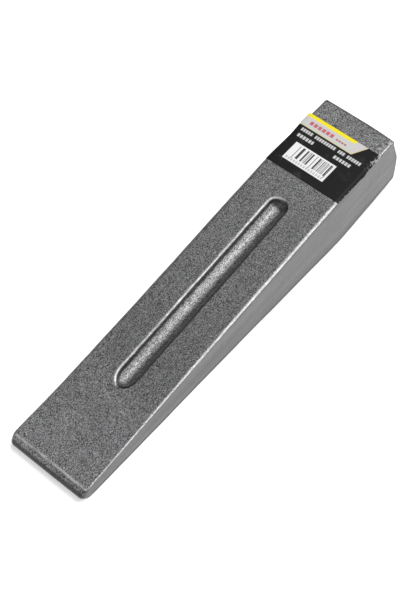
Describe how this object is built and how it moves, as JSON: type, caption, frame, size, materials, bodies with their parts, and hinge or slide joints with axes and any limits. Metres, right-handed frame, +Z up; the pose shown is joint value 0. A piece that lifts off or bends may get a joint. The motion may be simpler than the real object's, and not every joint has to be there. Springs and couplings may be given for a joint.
{
  "type": "splitting wedge",
  "caption": "Forged steel splitting wedge: thick head block, long straight taper to a blunt tip, a shallow round-ended groove in each broad face and a printed label on the head.",
  "frame": {"origin": "centre of the footprint of the bounding box, on the surface that the wedge lies on", "axes": "+X along the length towards the tip, +Y across the width, +Z up out of the upper broad face; the wedge lies on its lower tapered face, which is the plane z = 0"},
  "size_m": [0.2102, 0.042, 0.0331],
  "materials": {
    "grey_coat": "fine-grained satin grey coat on forged steel, edges worn bright",
    "label_print": "printed film, mostly black with a yellow and silver band, worn along one edge"
  },
  "bodies": {
    "root": {"wedge_body": "grey_coat", "label": "label_print"}
  },
  "joints": []
}
